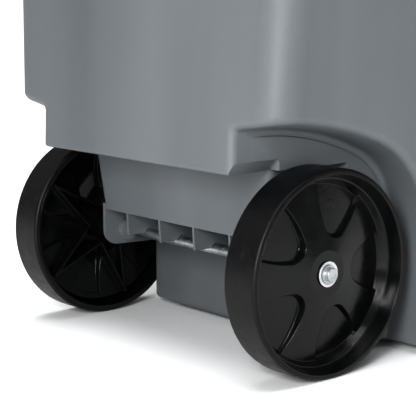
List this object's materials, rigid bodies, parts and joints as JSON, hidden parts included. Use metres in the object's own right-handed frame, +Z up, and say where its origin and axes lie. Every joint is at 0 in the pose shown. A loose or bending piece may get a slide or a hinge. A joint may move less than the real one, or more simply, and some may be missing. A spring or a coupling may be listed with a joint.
{
  "type": "two-wheeled waste container",
  "caption": "Tapered moulded waste container with a hinged lid, a tubular rear handle, two wheels on a steel axle and a turning front catch bar.",
  "frame": {"origin": "middle of the bounding box's footprint, at floor level", "axes": "+X across towards the right wheel, +Y towards the front away from the wheels, +Z up; the bin is mirror symmetric in X"},
  "size_m": [0.6462, 0.7746, 1.048],
  "materials": {
    "bin_plastic": "moulded, fine grain",
    "wheel_plastic": "moulded, glossy",
    "tread_rubber": "moulded rubber",
    "zinc_steel": "galvanised",
    "plug_plastic": "moulded"
  },
  "bodies": {
    "cart": {"bin_body": "bin_plastic", "axle": "zinc_steel", "handle_tube": "zinc_steel", "handle_plug_left": "plug_plastic", "handle_plug_right": "plug_plastic", "outer_washer_left": "zinc_steel", "outer_washer_right": "zinc_steel", "push_nut_left": "zinc_steel", "push_nut_right": "zinc_steel", "inner_spacer_left": "zinc_steel", "inner_spacer_right": "zinc_steel"},
    "lid_swing": {"lid": "bin_plastic"},
    "wheel_l": {"wheel_left": "wheel_plastic", "tread_left": "tread_rubber"},
    "wheel_r": {"wheel_right": "wheel_plastic", "tread_right": "tread_rubber"},
    "bar": {"catch_bar": "zinc_steel", "bar_plug_left": "plug_plastic", "bar_plug_right": "plug_plastic"}
  },
  "joints": [
    {"name": "lid_hinge", "type": "hinge", "parent": "cart", "child": "lid_swing", "pos_m": [0, -0.36731, 0.995], "axis": [1, 0, 0], "range_deg": [0, 250]},
    {"name": "wheel_left_spin", "type": "hinge", "parent": "cart", "child": "wheel_l", "pos_m": [-0.222, -0.21243, 0.127], "axis": [1, 0, 0], "continuous": true},
    {"name": "wheel_right_spin", "type": "hinge", "parent": "cart", "child": "wheel_r", "pos_m": [0.222, -0.21243, 0.127], "axis": [1, 0, 0], "continuous": true},
    {"name": "bar_spin", "type": "hinge", "parent": "cart", "child": "bar", "pos_m": [0, 0.29637, 0.43], "axis": [1, 0, 0], "continuous": true}
  ]
}
